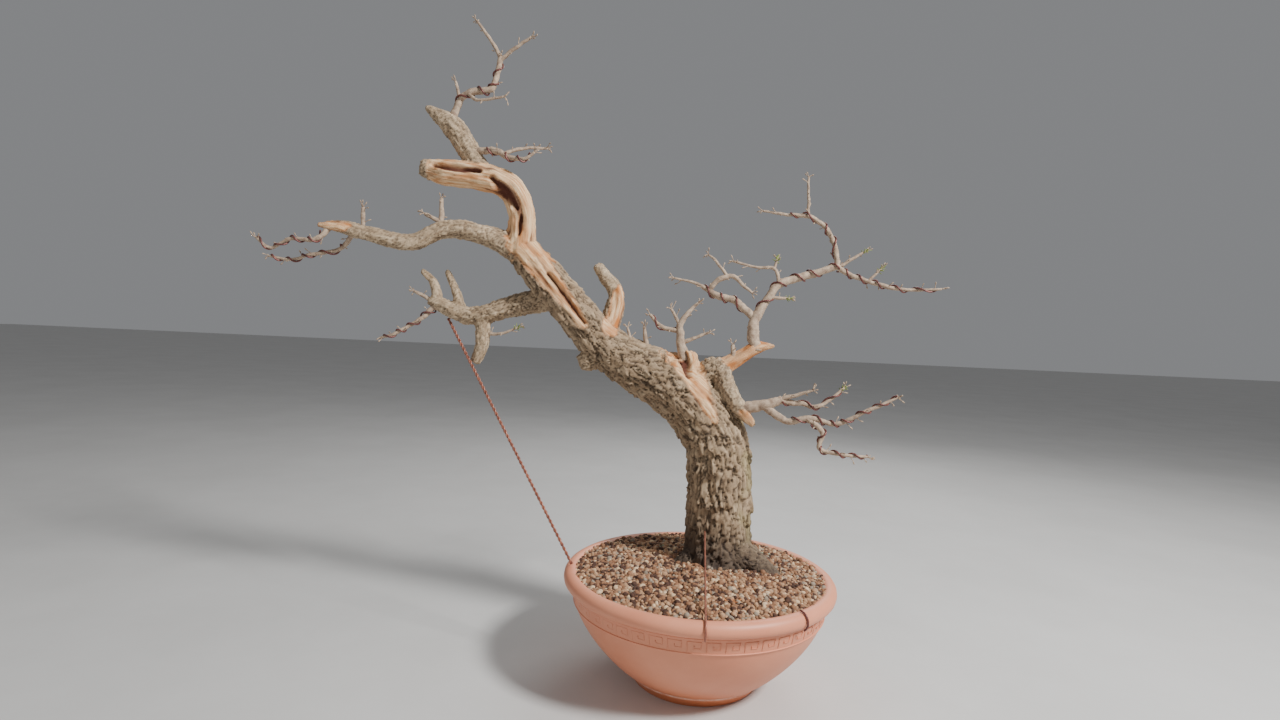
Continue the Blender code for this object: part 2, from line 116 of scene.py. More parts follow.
def startMaterial(name, roughness, metallic=0.0):
    material = bpy.data.materials.new(name)
    material.use_nodes = True
    shader = material.node_tree.nodes["Principled BSDF"]
    shader.inputs["Roughness"].default_value = roughness
    shader.inputs["Metallic"].default_value = metallic
    return material, material.node_tree.nodes, material.node_tree.links, shader


def addVariation(nodes, links, vector, scale, first, second):
    patch = nodes.new("ShaderNodeGroup")
    patch.node_tree = variation
    patch.inputs["Scale"].default_value = scale
    patch.inputs["First"].default_value = (*first, 1)
    patch.inputs["Second"].default_value = (*second, 1)
    links.new(vector, patch.inputs["Vector"])
    return patch


def addBump(nodes, links, shader, height, distance, strength=0.6):
    bump = nodes.new("ShaderNodeBump")
    bump.inputs["Distance"].default_value = distance
    bump.inputs["Strength"].default_value = strength
    links.new(height, bump.inputs["Height"])
    links.new(bump.outputs["Normal"], shader.inputs["Normal"])


def mixColours(nodes, links, factor, first, second):
    blend = nodes.new("ShaderNodeMix")
    blend.data_type = "RGBA"
    links.new(factor, blend.inputs[0])
    for socket, value in ((blend.inputs[6], first), (blend.inputs[7], second)):
        if isinstance(value, tuple):
            socket.default_value = (*value, 1)
        else:
            links.new(value, socket)
    return blend.outputs[2]


def plainFinish(name, scale, first, second, roughness, metallic=0.0, distance=0.0004):
    material, nodes, links, shader = startMaterial(name, roughness, metallic)
    coords = nodes.new("ShaderNodeTexCoord").outputs["Object"]
    patch = addVariation(nodes, links, coords, scale, first, second)
    links.new(patch.outputs["Color"], shader.inputs["Base Color"])
    addBump(nodes, links, shader, patch.outputs["Height"], distance)
    return material


def readAttribute(nodes, name):
    reader = nodes.new("ShaderNodeAttribute")
    reader.attribute_name = name
    return reader


def barkFinish():
    material, nodes, links, shader = startMaterial("barkAndDeadwood", 0.9)
    grain = readAttribute(nodes, "grain").outputs["Vector"]
    plates = addVariation(nodes, links, grain, 1.6, (0.36, 0.245, 0.14), (0.19, 0.12, 0.068))
    tinted = mixColours(nodes, links, readAttribute(nodes, "plate").outputs["Fac"],
                        plates.outputs["Color"], (0.66, 0.51, 0.34))
    lichen = mixColours(nodes, links, readAttribute(nodes, "lichen").outputs["Fac"], tinted,
                        (0.30, 0.26, 0.11))
    bark = mixColours(nodes, links, readAttribute(nodes, "crack").outputs["Fac"],
                      (0.030, 0.016, 0.009), lichen)
    stretch = nodes.new("ShaderNodeMapping")
    stretch.inputs["Scale"].default_value = (2.4, 2.4, 0.16)
    links.new(grain, stretch.inputs["Vector"])
    fibre = addVariation(nodes, links, stretch.outputs["Vector"], 1.5, (0.88, 0.64, 0.38),
                         (0.52, 0.23, 0.085))
    rusty = mixColours(nodes, links, readAttribute(nodes, "rust").outputs["Fac"],
                       fibre.outputs["Color"], (0.50, 0.165, 0.035))
    # painted shade: the deadwood hollows and the grooves between its ridges mixed towards near-black
    deadwood = mixColours(nodes, links, readAttribute(nodes, "hollow").outputs["Fac"],
                          rusty, (0.10, 0.028, 0.013))
    final = mixColours(nodes, links, readAttribute(nodes, "dead").outputs["Fac"], bark, deadwood)
    # painted shadow: the trunk base, darker on its left side, mixed towards near-black
    shaded = mixColours(nodes, links, readAttribute(nodes, "paintedBaseShadow").outputs["Fac"], final,
                        (0.030, 0.019, 0.016))
    links.new(shaded, shader.inputs["Base Color"])
    fine = addVariation(nodes, links, grain, 9.0, (0, 0, 0), (1, 1, 1))
    addBump(nodes, links, shader, fine.outputs["Height"], 0.0012)
    return material


def potFinish():
    material, nodes, links, shader = startMaterial("terracottaPlastic", 0.48)
    coords = nodes.new("ShaderNodeTexCoord").outputs["Object"]
    body = addVariation(nodes, links, coords, 7.0, (0.74, 0.30, 0.175), (0.68, 0.25, 0.14))
    split = nodes.new("ShaderNodeSeparateXYZ")
    links.new(coords, split.inputs["Vector"])
    # painted shade: the lowest 4.5 cm of the pot, towards the foot, mixed to a darker red
    low = nodes.new("ShaderNodeMapRange")
    low.inputs["From Min"].default_value = 0.045
    low.inputs["From Max"].default_value = 0.0
    links.new(split.outputs["Z"], low.inputs["Value"])
    paintedFootShade = mixColours(nodes, links, low.outputs[0], body.outputs["Color"], (0.64, 0.19, 0.07))
    # the lime line where water has dried on the foot
    ring = nodes.new("ShaderNodeMapRange")
    ring.inputs["From Min"].default_value = 0.0035
    ring.inputs["From Max"].default_value = 0.0
    away = nodes.new("ShaderNodeMath")
    away.operation = "SUBTRACT"
    away.inputs[1].default_value = 0.0165
    size = nodes.new("ShaderNodeMath")
    size.operation = "ABSOLUTE"
    links.new(split.outputs["Z"], away.inputs[0])
    links.new(away.outputs[0], size.inputs[0])
    links.new(size.outputs[0], ring.inputs["Value"])
    broken = addVariation(nodes, links, coords, 60.0, (0, 0, 0), (0.8, 0.8, 0.8))
    patchy = nodes.new("ShaderNodeMath")
    patchy.operation = "MULTIPLY"
    links.new(ring.outputs[0], patchy.inputs[0])
    links.new(broken.outputs["Color"], patchy.inputs[1])
    links.new(mixColours(nodes, links, patchy.outputs[0], paintedFootShade, (0.86, 0.78, 0.68)),
              shader.inputs["Base Color"])
    addBump(nodes, links, shader, body.outputs["Height"], 0.0006, 0.25)
    return material


barkMaterial = barkFinish()
potMaterial = potFinish()
twigMaterial = plainFinish("twigBark", 160, (0.50, 0.38, 0.27), (0.26, 0.175, 0.12), 0.8)
wireMaterial = plainFinish("copperWire", 120, (0.22, 0.075, 0.06), (0.09, 0.03, 0.028), 0.4, 0.4)
guyMaterial = plainFinish("guyWire", 120, (0.42, 0.17, 0.11), (0.22, 0.075, 0.05), 0.4, 0.4)
leafMaterial = plainFinish("youngLeaf", 220, (0.34, 0.40, 0.10), (0.17, 0.23, 0.06), 0.6)
mossMaterial = plainFinish("lichen", 180, (0.42, 0.46, 0.34), (0.20, 0.24, 0.13), 0.95)
deadLeafMaterial = plainFinish("deadLeaf", 120, (0.60, 0.21, 0.05), (0.36, 0.12, 0.04), 0.7)
bedMaterial = plainFinish("gritBed", 200, (0.16, 0.10, 0.06), (0.05, 0.032, 0.022), 0.95)
meshMaterial = plainFinish("drainMesh", 300, (0.03, 0.03, 0.03), (0.015, 0.015, 0.015), 0.6)
print("materials made")


# camera, floor and lights

def makeStage():
    bpy.ops.mesh.primitive_plane_add(size=30, location=(0, 0, 0))
    floor = bpy.context.object
    floor.name = "floor"
    floor.data.materials.append(plainFinish("paleFloor", 3, (0.62, 0.61, 0.59), (0.58, 0.57, 0.55), 0.8))
    lights = {"keyLight": ((1.45, -1.15, 2.0), 104, 0.4), "fillLight": ((-1.7, -1.6, 1.2), 8, 1.6),
              "backLight": ((0.6, 1.8, 1.7), 18, 1.2)}
    for name, (spot, power, size) in lights.items():
        light = bpy.data.lights.new(name, "AREA")
        light.energy, light.size = power, size
        lamp = bpy.data.objects.new(name, light)
        lamp.location = spot
        aim = Vector((-0.1, 0, 0.42)) - Vector(spot)
        lamp.rotation_euler = aim.to_track_quat("-Z", "Y").to_euler()
        bpy.context.scene.collection.objects.link(lamp)
    world = bpy.data.worlds.new("softRoom")
    world.use_nodes = True
    world.node_tree.nodes["Background"].inputs["Color"].default_value = (0.55, 0.56, 0.58, 1)
    world.node_tree.nodes["Background"].inputs["Strength"].default_value = 0.42
    bpy.context.scene.world = world


def makeCamera():
    view = {"spot": (-0.0814, -1.0331, 0.513), "ahead": (-0.01938, 0.99890, -0.04279),
            "roll": 2.56, "lens": 19.69}
    camera = bpy.data.objects.new("camera", bpy.data.cameras.new("camera"))
    camera.data.lens = view["lens"]
    camera.location = view["spot"]
    camera.rotation_euler = Vector(view["ahead"]).to_track_quat("-Z", "Y").to_euler()
    camera.rotation_euler.rotate_axis("Z", math.radians(view["roll"]))
    bpy.context.scene.collection.objects.link(camera)
    bpy.context.scene.camera = camera


makeStage()
makeCamera()
print("stage and camera set")


# routes: x, y, height above the rim, radius

bowl = {"rimRadius": 20.0, "rimHeight": 16.1, "rollRadius": 1.1, "footRadius": 9.2, "footHeight": 1.6,
        "footFlare": 1.05, "wall": 0.4, "floor": 0.5, "bandHeight": 2.4, "drainRing": 4.5,
        "drainRadius": 0.6, "soilBelowRim": 0.7, "soilHeap": 1.1}
rollR = bowl["rimRadius"] - bowl["rollRadius"]
rollZ = bowl["rimHeight"] - bowl["rollRadius"]
soilR = rollR - bowl["wall"] / 2

thickLimbs = {
    "trunk": [(3.3, 3.5, -7.0, 4.6), (3.3, 3.5, -1.0, 5.8), (3, 3.5, 3, 5.0), (2.8, 3.5, 11, 4.8),
              (2.2, 3.5, 18, 4.7), (-0.5, 3.5, 23, 4.8), (-5, 3.5, 27, 4.6), (-10.5, 3.5, 29.5, 3.8),
              (-15.5, 3.5, 32.5, 3.2), (-20, 3, 37, 2.9), (-25, 2.5, 42.5, 2.8), (-29, 2, 47, 2.3)],
    "rightRoot": [(4.5, 2, 2.5, 3.2), (9.5, 0, 0.2, 1.7), (13, -2.5, -1.6, 0.9)],
    "leftRoot": [(1, 2.5, 1.5, 2.6), (-3.6, 1.2, -0.8, 1.2), (-6, 0.5, -2.2, 0.7)],
    "hook": [(-29, 2, 46.5, 2.3), (-28.6, 1, 51.5, 2.0), (-30.5, 0, 55.2, 2.0), (-35, 0, 56.6, 2.0),
             (-40, 0, 57, 1.9), (-43.5, 0, 57.6, 1.2)],
    "apex": [(-34.8, 0.5, 57.5, 1.4), (-37.2, 0.8, 61, 1.6), (-39.4, 1, 64, 1.6),
             (-41.5, 1, 65.5, 1.1), (-43.5, 1, 66.7, 0.3)],
    "leftTop": [(-28.5, 2, 46.2, 2.2), (-34, 1, 48.2, 1.5), (-39.5, 0, 48.8, 1.35),
                (-44.5, -1, 46.5, 1.2), (-50, -2, 47.3, 1.1), (-54, -3, 48.1, 0.9),
                (-57.3, -3, 48.3, 0.35)],
    "leftLow": [(-22.5, 3.5, 40, 2.0), (-30, 4, 38, 1.6), (-35.8, 4, 36.3, 1.4), (-40, 4, 37.2, 1.2),
                (-43, 4, 38.5, 0.8)],
    "leftLowDrop": [(-34.8, 4, 36, 1.3), (-34.6, 4, 32, 1.0), (-35.7, 4, 29, 0.75)],
    "leftLowRise": [(-38, 4, 37, 0.9), (-39, 4, 40, 0.65), (-40.5, 4, 43, 0.4)],
    "leftLowEnd": [(-41.5, 4, 37.8, 0.85), (-42.4, 4, 41, 0.7), (-44, 3, 42.8, 0.35)],
    "deadStub": [(-15.5, 4.4, 34, 1.8), (-14.3, 5, 40.5, 1.3), (-16.5, 5, 43.5, 1.0),
                 (-17.5, 5, 45, 0.8)],
    "knob": [(-15, 3.5, 31.5, 2.4), (-19.5, 3, 29.8, 1.1)],
    "shoulder": [(-3.5, 3.2, 25, 3.6), (-5.4, 2.6, 31, 2.5)],
    "shoulderRight": [(-3.5, 2.8, 28, 2.4), (-2.6, 2.5, 32.4, 1.2)],
    "rightLimb": [(-2, 3.5, 27.5, 2.4), (1.5, 2, 30, 1.6), (3, 1, 27, 1.3), (5.2, 0, 24, 1.1),
                  (7.1, -0.5, 21.8, 0.4)],
    "rightRise": [(1.4, 2, 29.8, 1.4), (4.8, 2, 31.7, 1.1), (7.2, 2, 33.3, 1.0), (9.9, 2, 33.8, 0.3)],
}
thinLimbs = {
    "leader": [(-39.5, 1, 64.8, 0.6), (-38.3, 1, 68, 0.5), (-36.5, 0.5, 69, 0.5),
               (-33.8, 0.5, 69.5, 0.48), (-33, 1, 72, 0.4), (-32.5, 1, 74.4, 0.38)],
    "leaderLeft": [(-32.5, 1, 74, 0.32), (-34, 1, 76.5, 0.26), (-36.3, 1, 79.4, 0.18)],
    "leaderRight": [(-32.5, 1, 74, 0.32), (-30.5, 0.5, 75.5, 0.26), (-28, 0, 77, 0.18)],
    "leaderLow": [(-37, 0.5, 68.8, 0.26), (-35.3, -0.6, 67.5, 0.22), (-31.5, -1, 68, 0.16)],
    "leaderBud": [(-38.4, 1, 67.8, 0.28), (-39.2, 1, 70.6, 0.18)],
    "crown": [(-37, 0.6, 60.4, 0.6), (-32.6, -0.4, 60.4, 0.48), (-30.8, -1, 59.4, 0.4),
              (-28, -2, 59, 0.25), (-26.6, -2, 60, 0.18)],
    "crownUpper": [(-31.4, -0.8, 59.8, 0.32), (-28.5, 0, 61, 0.24), (-25.2, 1, 61.4, 0.16)],
    "leftTopPeg": [(-51, -2, 47.5, 0.38), (-51.2, -2, 51.2, 0.25)],
    "leftTopStub": [(-40.3, 0, 49, 0.45), (-40.4, 0, 53.2, 0.26)],
    "leftTopSide": [(-40.2, 0, 49.6, 0.36), (-42.6, -0.6, 50.8, 0.25)],
    "tipUpper": [(-55.5, -3, 48, 0.5), (-57.2, -4, 46, 0.32), (-60.5, -4, 46, 0.26),
                 (-63.3, -4, 44.6, 0.22), (-65.6, -4, 46, 0.16)],
    "tipLower": [(-52, -2.6, 47.4, 0.4), (-55, -1, 45, 0.3), (-59.5, -1, 44, 0.26),
                 (-62.5, 0, 43.3, 0.22), (-65.8, 0, 43.7, 0.16)],
    "lowTwig": [(-41.8, 4, 37.6, 0.5), (-44.5, 3, 35, 0.32), (-47.5, 2, 33, 0.26),
                (-49.5, 2, 32.3, 0.16)],
    "lowPeg": [(-42.4, 4, 38.2, 0.4), (-45.4, 4, 39.6, 0.2)],
    "lowDropTwig": [(-34.6, 4, 33.6, 0.3), (-31.5, 3, 33.7, 0.22), (-29, 3, 34.8, 0.16)],
    "centre": [(-3.6, 2.5, 31, 0.9), (-4.3, 2.5, 36.3, 0.5), (-1.8, 3, 39.7, 0.18)],
    "centreRight": [(-3.9, 2.5, 33.6, 0.35), (0, 2, 35.3, 0.16)],
    "centreLeft": [(-4.2, 2.5, 35.2, 0.38), (-7.3, 3, 35.9, 0.3), (-9, 3, 37.6, 0.2)],
    "centreUp": [(-4.2, 2.5, 36, 0.34), (-5.8, 3, 38.6, 0.18)],
    "shortTwig": [(-9, 3.5, 30.5, 0.6), (-9.8, 3.5, 35.8, 0.2)],
    "thinTwig": [(-11, 3.5, 30.5, 0.4), (-12.3, 3.5, 35.5, 0.16)],
    "rightTear": [(3.8, 2, 31, 0.6), (3.6, 2, 33.6, 0.26)],
    "upper": [(7, 2, 32.8, 0.95), (6.6, 2.5, 37, 0.85), (8.2, 3, 40, 0.65), (10.3, 3.5, 43, 0.6),
              (14, 4, 44.4, 0.6), (19.2, 4, 46.2, 0.5)],
    "upperLeft": [(6.8, 2.6, 37.6, 0.6), (3.8, 3.5, 40.2, 0.55), (1.3, 4, 40.8, 0.55),
                  (-0.4, 4.5, 41.8, 0.42), (-2.3, 5, 42.8, 0.22), (-5.5, 5, 43.4, 0.16)],
    "arch": [(-0.2, 4.4, 41.7, 0.4), (1.2, 4, 43.4, 0.4), (3.5, 4, 43.9, 0.35), (5.2, 4, 42.4, 0.25),
             (6.4, 4, 41.6, 0.18)],
    "archTwig": [(2.6, 4, 43.8, 0.28), (0.8, 4.5, 46.2, 0.2), (-0.5, 5, 47.2, 0.16)],
    "middleTwig": [(10.3, 3.5, 43, 0.34), (9.6, 4, 45.4, 0.26), (6.5, 4.5, 45.6, 0.2),
                   (3.4, 5, 46.4, 0.16)],
    "middleTuft": [(9.6, 4, 45.2, 0.24), (10, 4.5, 47, 0.16)],
    "spray": [(19, 4, 46.1, 0.44), (18.6, 4.5, 49.5, 0.38), (17, 5, 52.2, 0.36), (14.6, 5, 53.7, 0.35),
              (11, 5.5, 53.9, 0.22), (7.7, 6, 54.4, 0.16)],
    "spire": [(14.5, 5, 53.6, 0.26), (14.2, 5, 59.6, 0.16)],
    "reach": [(19, 4, 46.1, 0.44), (21.2, 3.5, 44.8, 0.36), (26.3, 2.5, 43.3, 0.3),
              (29.7, 2, 42.9, 0.24), (33.7, 1, 43.2, 0.16)],
    "reachUp": [(19.4, 4, 46.2, 0.3), (23.3, 4, 48.7, 0.16)],
    "reachLeaf": [(23.6, 3, 44.1, 0.24), (25.4, 3, 46, 0.16)],
    "upperSmall": [(8.8, 3.2, 41, 0.3), (11.9, 3, 40.9, 0.16)],
    "lower": [(5, 0.1, 24.2, 1.0), (9, -1, 25.3, 0.75), (10.8, -1, 26, 0.55)],
    "lowerTop": [(10.4, -1, 25.8, 0.5), (13.6, -0.5, 25.5, 0.36), (16.6, 0, 25.2, 0.32),
                 (20.2, 0.5, 28, 0.16)],
    "lowerThin": [(10.6, -1, 26, 0.36), (15, -2, 27.6, 0.16)],
    "lowerLong": [(8, -0.8, 25, 0.6), (11.5, -2, 23, 0.5), (14.7, -3, 23.7, 0.4), (18.3, -3, 23, 0.32),
                  (22, -4, 25, 0.27), (26.5, -4, 27.3, 0.16)],
    "lowerDrop": [(14.2, -2.9, 23.6, 0.4), (16.3, -4, 21.8, 0.36), (15.8, -4.2, 19.6, 0.3),
                  (18.5, -5, 19, 0.26), (22.5, -5, 18.8, 0.16)],
}


def soilHeight(radius):
    share = min(radius / soilR, 1.0)
    return bowl["rimHeight"] - bowl["soilBelowRim"] + bowl["soilHeap"] * (1 - share * share)


def bowlRadius(height):
    footTop = bowl["footRadius"] + bowl["footFlare"]
    share = min(max((height - bowl["footHeight"]) / (rollZ - bowl["footHeight"]), 0.0), 1.0)
    return footTop + (rollR - footTop) * math.sin(share * math.pi / 2) ** 0.85


def routeRows(points, spacing):
    # evenly spaced rows on a smooth curve: place, radius
    rows = []
    padded = [points[0]] + list(points) + [points[-1]]
    for i in range(1, len(padded) - 2):
        a, b, c, d = [Vector(padded[i + k][:3]) for k in (-1, 0, 1, 2)]
        count = max(1, round((c - b).length / spacing))
        for step in range(count):
            t = step / count
            spot = 0.5 * (2 * b + (c - a) * t + (2 * a - 5 * b + 4 * c - d) * t ** 2
                          + (3 * b - a - 3 * c + d) * t ** 3)
            rows.append((spot, padded[i][3] + (padded[i + 1][3] - padded[i][3]) * t))
    rows.append((Vector(points[-1][:3]), points[-1][3]))
    return [(spot + Vector((0, 0, bowl["rimHeight"])), radius) for spot, radius in rows]


def carriedFrames(spots):
    # along, side and up at each spot, carried along without twisting
    frames, side = [], None
    for i in range(len(spots)):
        along = (spots[min(i + 1, len(spots) - 1)] - spots[max(i - 1, 0)]).normalized()
        side = along.orthogonal() if side is None else side
        side = (side - along * side.dot(along)).normalized()
        frames.append((along, side, along.cross(side)))
    return frames


def sweep(rows, sides, points, faces, wobble=0.0):
    # adds one closed tube to the lists
    start = len(points)
    frames = carriedFrames([spot for spot, radius in rows])
    for (spot, radius), (along, side, up) in zip(rows, frames):
        for k in range(sides):
            turn = math.tau * k / sides
            out = math.cos(turn) * side + math.sin(turn) * up
            rough = 1 + wobble * noise.noise((spot + out * radius) * 1.9)
            points.append(spot + out * radius * rough)
    for i in range(len(rows) - 1):
        low, high = start + i * sides, start + (i + 1) * sides
        for k in range(sides):
            after = (k + 1) % sides
            faces.append((low + k, low + after, high + after, high + k))
    faces.append(tuple(start + sides - 1 - k for k in range(sides)))
    faces.append(tuple(start + (len(rows) - 1) * sides + k for k in range(sides)))


# guy wire: two strands twisted into one taut line

def makeGuyWire():
    guy = {"diameter": 0.5, "twist": 1.5, "bearing": 185, "gap": 0.08}
    wire = guy["diameter"] / 2
    reach = bowl["rollRadius"] + wire + guy["gap"]
    turn = math.radians(guy["bearing"])
    foot = Vector((rollR * math.cos(turn), rollR * math.sin(turn), rollZ + reach))
    x, y, height, radius = thickLimbs["leftLow"][3]
    head = Vector((x, y, bowl["rimHeight"] + height - radius - wire - guy["gap"]))
    length = (foot - head).length
    steps = round(length / 0.2)
    line = [head.lerp(foot, i / steps) for i in range(steps + 1)]
    along, side, up = carriedFrames(line)[0]
    points, faces = [], []
    for start in (0, math.pi):
        strand = []
        for i, spot in enumerate(line):
            turn = start + math.tau * i / steps * length / guy["twist"]
            strand.append((spot + (math.cos(turn) * side + math.sin(turn) * up) * wire / 2, wire / 2))
        sweep(strand, 8, points, faces)
    piece = place(fromPoints("guyWire", points, faces, guyMaterial), "guy_wire_metal", "guy_wire")


makeGuyWire()
print("guy wire made")


# trunk and thick limbs

woodLook = {
    "voxel": 0.00215,
    # limbs stripped to deadwood, and how much of each
    "stripped": {"hook": 1.0, "shoulder": 0.9, "shoulderRight": 1.0, "rightRise": 0.85},
    # how rusty each limb's bare wood has weathered
    "rust": {"hook": 0.6, "rightRise": 1.0, "deadStub": 1.0, "shoulder": 0.8, "leftTop": 1.0, "trunk": 0.55},
    # stripped streaks on the near side: from x z, to x z, width at each end
    "streaks": [((-28.4, 63.5), (-18.6, 51.6), 2.3, 0.5), ((-4.6, 50.0), (1.4, 38.5), 2.6, 0.4),
                ((-13.6, 57.0), (-14.9, 51.5), 0.9, 1.3), ((-57.0, 64.4), (-53.0, 64.2), 1.3, 0.6),
                ((6.8, 38.2), (5.4, 40.0), 0.9, 0.5)],
    # hollows in the hook and the split: from x z, to x z, half width
    "hollows": [((-41.2, 73.9), (-34.5, 73.3), 0.55), ((-32.6, 72.2), (-29.2, 68.2), 0.75),
                ((-28.4, 67.0), (-28.8, 64.5), 0.35), ((-24.2, 59.0), (-18.6, 52.0), 0.30),
                ((-3.9, 48.5), (-2.8, 45.0), 0.55)],
}


def lineShare(spot, start, end):
    # distance from the line across the front, and the share along it
    a, b = Vector(start), Vector(end)
    flat = Vector((spot.x, spot.z))
    share = min(max((flat - a).dot(b - a) / (b - a).length_squared, 0.0), 1.0)
    return (flat - a.lerp(b, share)).length, share


def strippedShare(limb, spot, middle, grain):
    share = woodLook["stripped"].get(limb, 0.0)
    if limb == "hook" and spot.x < -42.3:
        share = 0.0
    near = smoothStep(0.3, -0.5, spot.y - middle.y)
    ragged = 0.55 * noise.noise(Vector((grain.x * 1.2, grain.y * 1.2, grain.z * 0.3)))
    for start, end, wide, narrow in woodLook["streaks"]:
        away, along = lineShare(spot, start, end)
        width = wide + (narrow - wide) * along + ragged
        share = max(share, near * smoothStep(width + 0.25, width - 0.15, away))
    return share


def hollowShare(spot, middle):
    if spot.y > middle.y:
        return 0.0
    deepest = 0.0
    for start, end, half in woodLook["hollows"]:
        away, along = lineShare(spot, start, end)
        width = half * (0.35 + 0.65 * math.sin(math.pi * min(max(along, 0.06), 0.94)))
        deepest = max(deepest, smoothStep(width + 0.3, width - 0.2, away))
    return deepest


def remeshedWood():
    points, faces = [], []
    for route in thickLimbs.values():
        sweep(routeRows(route, 0.7), 24, points, faces, 0.10)
    piece = fromPoints("trunkAndLimbs", points, faces, barkMaterial)
    only(piece)
    remesh = piece.modifiers.new("oneSkin", "REMESH")
    remesh.mode = "VOXEL"
    remesh.voxel_size = woodLook["voxel"]
    bpy.ops.object.modifier_apply(modifier="oneSkin")
    relax = piece.modifiers.new("relax", "SMOOTH")
    relax.factor, relax.iterations = 0.6, 6
    bpy.ops.object.modifier_apply(modifier="relax")
    return piece


def nearestRows(coords):
    # which limb row each point of the skin grew from
    names, centres, radii, alongs, sides, ups, lengths = [], [], [], [], [], [], []
    for index, (limb, route) in enumerate(thickLimbs.items()):
        rows = routeRows(route, 0.5)
        travelled = 40.0 * index
        for i, ((spot, radius), (along, side, up)) in enumerate(
                zip(rows, carriedFrames([spot for spot, radius in rows]))):
            travelled += (spot - rows[i - 1][0]).length if i else 0.0
            names.append(limb)
            centres.append(spot)
            radii.append(radius)
            alongs.append(along)
            sides.append(side)
            ups.append(up)
            lengths.append(travelled)
    table, sizes = np.array(centres), np.array(radii)
    nearest = []
    for start in range(0, len(coords), 3000):
        part = coords[start:start + 3000]
        away = np.linalg.norm(part[:, None, :] - table[None], axis=2) - sizes[None]
        nearest.extend(np.argmin(np.abs(away), axis=1).tolist())
    return nearest, names, centres, radii, alongs, sides, ups, lengths


def makeWood():
    piece = remeshedWood()
    mesh = piece.data
    count = len(mesh.vertices)
    flat = np.empty(count * 3)
    mesh.vertices.foreach_get("co", flat)
    coords = flat.reshape(-1, 3) / cm
    nearest, names, centres, radii, alongs, sides, ups, lengths = nearestRows(coords)
    values = {key: [0.0] * count for key in ("crack", "plate", "dead", "hollow", "lichen", "paintedBaseShadow", "rust")}
    grains, moved = [0.0] * (count * 3), []
    for i in range(count):
        row = nearest[i]
        spot = Vector(coords[i])
        offset = spot - centres[row]
        grain = Vector((offset.dot(sides[row]), offset.dot(ups[row]),
                        lengths[row] + offset.dot(alongs[row])))
        grains[3 * i:3 * i + 3] = grain
        dead = strippedShare(names[row], spot, centres[row], grain)
        hollow = hollowShare(spot, centres[row]) if dead > 0.3 else 0.0
        # plates get finer and flatter from the old trunk to the younger limbs
        old = smoothStep(0.9, 2.4, radii[row]) * (0.5 if names[row] in ("leftTop", "apex") else 1.0)
        cell = Vector((grain.x * 1.35, grain.y * 1.35, grain.z * 0.40)) * (1.75 - 0.75 * old)
        cell += noise.noise_vector(cell * 0.45) * 0.9 + noise.noise_vector(cell * 2.1) * 0.34
        distances, spots = noise.voronoi(cell)
        edge = distances[1] - distances[0]
        crack = smoothStep(0.0, 0.16, edge)
        plate = 0.5 + 0.5 * noise.cell(spots[0] * 7.3)
        lean = (cell - spots[0]).z      # each plate lifts at its lower end
        fibre = noise.noise(Vector((grain.x * 3.2, grain.y * 3.2, grain.z * 0.22)))
        flake = noise.noise(Vector((grain.x * 2.4, grain.y * 2.4, grain.z * 0.9)))
        relief = (0.28 * crack + 0.22 * plate - 0.30 * lean - 0.32) * (0.26 + 0.74 * old)
        relief += (0.06 + 0.10 * old) * flake + 0.05 * fibre + 0.16 * noise.noise(grain * 0.45)
        ridge = noise.noise(Vector((grain.x * 1.1, grain.y * 1.1, grain.z * 0.13)))
        bare = 0.13 * fibre + 0.36 * ridge + 0.12 * flake - 0.12 - 0.75 * hollow
        normal = mesh.vertices[i].normal
        moved.append(spot + normal * (relief * (1 - dead) + bare * dead))
        floorTone = 0.40 - 0.28 * old
        values["crack"][i] = floorTone + (1 - floorTone) * crack * (0.82 + 0.18 * smoothStep(-0.4, 0.3, flake))
        values["plate"][i] = min(1.0, max(0.0, (0.62 - 0.30 * old) * (0.3 + plate) * (0.9 + 0.9 * fibre)))
        values["dead"][i] = dead
        edgeRust = smoothStep(0.98, 0.6, dead)
        patchRust = smoothStep(0.02, 0.42, noise.noise(Vector((grain.x, grain.y, grain.z * 0.3)) * 0.75))
        values["rust"][i] = min(1.0, woodLook["rust"].get(names[row], 0.35) * (edgeRust + patchRust))
        # painted shade in the deadwood hollows and ridge grooves
        values["hollow"][i] = min(1.0, hollow + 0.8 * smoothStep(0.18, 0.5, -ridge))
        values["lichen"][i] = 0.5 * smoothStep(0.3, 0.9, normal.x) * smoothStep(46, 38, spot.z) \
            * smoothStep(-0.2, 0.3, noise.noise(spot * 0.35))
        # painted shadow over the trunk base, reaching higher on the left side
        values["paintedBaseShadow"][i] = 0.80 * smoothStep(25.5, 17.5, spot.z + 0.25 * (spot.x - 3))
    mesh.vertices.foreach_set("co", [c * cm for spot in moved for c in spot])
    for key, numbers in values.items():
        mesh.attributes.new(key, "FLOAT", "POINT").data.foreach_set("value", numbers)
    mesh.attributes.new("grain", "FLOAT_VECTOR", "POINT").data.foreach_set("vector", grains)
    mesh.shade_smooth()
    mesh.update()
    place(piece, "bark", "tree")
    print("trunk faces", len(mesh.polygons))


makeWood()
print("trunk and limbs made")


# twigs with buds and short spurs

def addSpur(points, faces, root, aim, length, radius):
    # a crooked shoot that ends in a small bud
    rows, spot, heading = [], root, aim
    for step in range(4):
        rows.append((spot, radius * (1 - 0.16 * step)))
        heading = (heading + 0.35 * Vector([random.uniform(-1, 1) for axis in range(3)])).normalized()
        spot = spot + heading * length / 4
    rows += [(spot, radius * 1.25), (spot + heading * radius * 1.6, radius * 1.0),
             (spot + heading * radius * 3.2, radius * 0.2)]
    sweep(rows, 5, points, faces)


